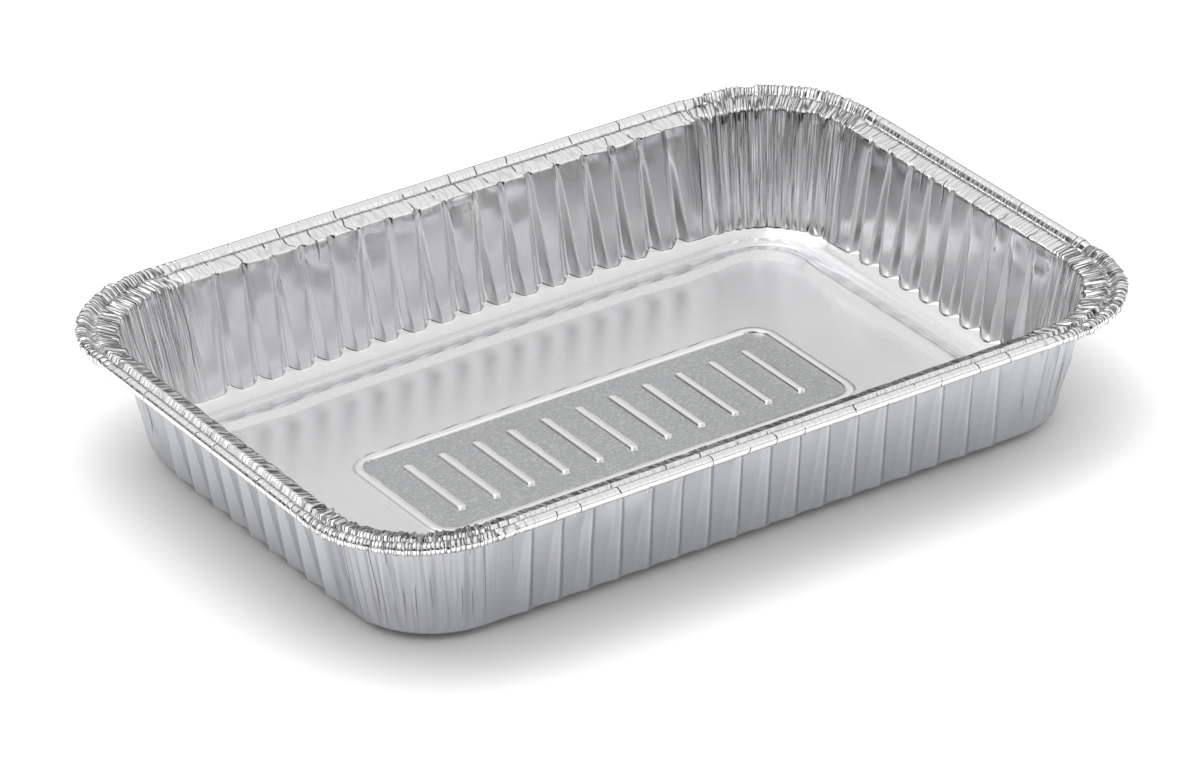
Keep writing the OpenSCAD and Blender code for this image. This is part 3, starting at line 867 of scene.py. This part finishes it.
off_rib = add(ribs, "ShaderNodeMath", {"operation": "MULTIPLY"}, {0: was_grainy, 1: beyond_rib})
grain_share = add(ribs, "ShaderNodeMath", {"operation": "MAXIMUM"}, {0: pressed_grain, 1: off_rib})
kept = add(ribs, "GeometryNodeStoreNamedAttribute", {"data_type": "FLOAT", "domain": "POINT"}, {
    "Geometry": given["Geometry"], "Name": "grainy", "Value": grain_share,
})
press(sheet, ribs, rib_offset, {"Foil": foil}, kept)

graph = bpy.context.evaluated_depsgraph_get()
pressed_mesh = bpy.data.meshes.new_from_object(sheet.evaluated_get(graph))
sheet.modifiers.clear()
sheet.data = pressed_mesh
bpy.data.meshes.remove(mesh)

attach(sheet, "root")
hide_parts("foil_pan")


# Table
#
# A seamless sheet of matt white paper, which the pan stands on and which runs on behind it. Over its matt
# shading it glows white for the camera and where the foil reflects it. The glow fades near the pan by an
# occlusion test, so the shadow near the pan is partly painted.

paper = bpy.data.materials.new("matt_white_paper")
paper.use_nodes = True
paper.node_tree.nodes.clear()
paper_shade = paper.node_tree
paper_colour = linear("F6F6F6")
lift = 0.76
shadow_reach = 50 * mm
shadow_power = 2.5
path = add(paper_shade, "ShaderNodeLightPath")
seen = add(paper_shade, "ShaderNodeMath", {"operation": "MAXIMUM"}, {
    0: path.outputs["Is Camera Ray"], 1: path.outputs["Is Glossy Ray"],
})
# Painted shadow: the white glow fades where the pan occludes the paper, drawing a dark zone round the pan
clear_of_pan = add(paper_shade, "ShaderNodeAmbientOcclusion", {"samples": 8}, {
    "Distance": shadow_reach,
}).outputs["AO"]
painted_shadow_fade = add(paper_shade, "ShaderNodeMath", {"operation": "POWER"}, {0: clear_of_pan, 1: shadow_power})
through = add(paper_shade, "ShaderNodeMath", {"operation": "MAXIMUM"}, {
    0: seen, 1: path.outputs["Is Transmission Ray"],
})
away = add(paper_shade, "ShaderNodeMath", {"operation": "MULTIPLY"}, {0: through, 1: painted_shadow_fade})
painted_glow_strength = add(paper_shade, "ShaderNodeMath", {"operation": "MULTIPLY"}, {0: away, 1: lift})
matt = add(paper_shade, "ShaderNodeBsdfDiffuse", {}, {"Color": paper_colour})
painted_glow = add(paper_shade, "ShaderNodeEmission", {}, {"Color": linear("FFFFFF"), "Strength": painted_glow_strength})
both_shaders = add(paper_shade, "ShaderNodeAddShader", {}, {0: matt, 1: painted_glow})
add(paper_shade, "ShaderNodeOutputMaterial", {}, {"Surface": both_shaders})

bpy.ops.mesh.primitive_plane_add(size=6, location=(0, 0, 0))
table = bpy.context.active_object
table.name = "table"
table.data.materials.append(paper)


# Light
#
# A white tent stands round the table and is brightest overhead. It is open where the camera looks in, with
# two smaller dark gaps at the left and at the back, so that the foil has something dark to show. A white
# panel stands at the right, and one large softbox hangs above, a little to the left.

world = bpy.data.worlds.new("studio")
bpy.context.scene.world = world
world.use_nodes = True
sky = world.node_tree
sky.nodes.clear()
direction = add(sky, "ShaderNodeTexCoord").outputs["Generated"]
height_up = add(sky, "ShaderNodeSeparateXYZ", {}, {0: direction})
ramp = add(sky, "ShaderNodeValToRGB", {}, {0: height_up.outputs[2]})
ramp.color_ramp.elements[0].position = 0.0
ramp.color_ramp.elements[0].color = (0.08, 0.08, 0.08, 1)
ramp.color_ramp.elements[1].position = 0.85
ramp.color_ramp.elements[1].color = (0.88, 0.88, 0.88, 1)
for position, level in ((0.08, 0.19), (0.2, 0.4), (0.34, 0.62), (0.47, 0.78), (0.62, 0.88)):
    element = ramp.color_ramp.elements.new(position)
    element.color = (level, level, level, 1)


def patch(turn, rise, inner, outer, level_in, level_out):
    """The level by direction round a place in the tent, even within inner and outside outer degrees."""
    turn, rise = math.radians(turn), math.radians(rise)
    way = (math.cos(turn) * math.cos(rise), math.sin(turn) * math.cos(rise), math.sin(rise))
    towards = add(sky, "ShaderNodeVectorMath", {"operation": "DOT_PRODUCT"}, {0: direction, 1: way})
    return add(sky, "ShaderNodeMapRange", {"interpolation_type": "SMOOTHSTEP"}, {
        "Value": towards.outputs["Value"], "From Min": math.cos(math.radians(outer)),
        "From Max": math.cos(math.radians(inner)), "To Min": level_out, "To Max": level_in,
    })


dark_opening = patch(236, 14, 22, 40, 0.05, 1.0)
dark_left = patch(141, 24, 10, 20, 0.06, 1.0)
dark_back = patch(56, 2, 8, 18, 0.3, 1.0)
right_panel = patch(308, 14, 18, 36, 0.3, 0.0)
open_share = add(sky, "ShaderNodeMath", {"operation": "MULTIPLY"}, {0: dark_opening, 1: dark_left})
wall_share = add(sky, "ShaderNodeMath", {"operation": "MULTIPLY"}, {0: open_share, 1: dark_back})
walled = add(sky, "ShaderNodeMath", {"operation": "MULTIPLY"}, {0: ramp, 1: wall_share})
level = add(sky, "ShaderNodeMath", {"operation": "ADD"}, {0: walled, 1: right_panel})
tent = add(sky, "ShaderNodeBackground", {}, {"Color": linear("FFFFFF"), "Strength": level})
add(sky, "ShaderNodeOutputWorld", {}, {"Surface": tent})


def softbox(name, place, size, power):
    """A square area light at that place, turned to the pan."""
    data = bpy.data.lights.new(name, "AREA")
    data.shape = "SQUARE"
    data.size = size
    data.energy = power
    lamp = bpy.data.objects.new(name, data)
    lamp.location = place
    lamp.rotation_euler = Vector(place).to_track_quat("Z", "Y").to_euler()
    bpy.context.scene.collection.objects.link(lamp)


softbox("overhead_softbox", (-0.38, 0.35, 1.15), 0.9, 3.0)


# Camera
#
# It looks down on the pan from the front left through a long lens, and leans a little to one side.

camera_turn = math.radians(-32.176)
camera_rise = math.radians(28.265)
camera_roll = math.radians(-2.083)
camera_distance = 1523.2 * mm
aim = Vector((2.0, 5.15, 10.1)) * mm
back = Vector((
    math.sin(camera_turn) * math.cos(camera_rise),
    -math.cos(camera_turn) * math.cos(camera_rise),
    math.sin(camera_rise),
))
level_right = Vector((math.cos(camera_turn), math.sin(camera_turn), 0))
level_up = back.cross(level_right)
right = level_right * math.cos(camera_roll) + level_up * math.sin(camera_roll)
up = back.cross(right)
camera_data = bpy.data.cameras.new("camera")
camera_data.lens = 196.68
camera_data.sensor_width = 36
camera = bpy.data.objects.new("camera", camera_data)
camera.matrix_world = Matrix((
    (right.x, up.x, back.x, aim.x + back.x * camera_distance),
    (right.y, up.y, back.y, aim.y + back.y * camera_distance),
    (right.z, up.z, back.z, aim.z + back.z * camera_distance),
    (0, 0, 0, 1),
))
bpy.context.scene.collection.objects.link(camera)
bpy.context.scene.camera = camera
bpy.context.scene.view_settings.view_transform = "Standard"
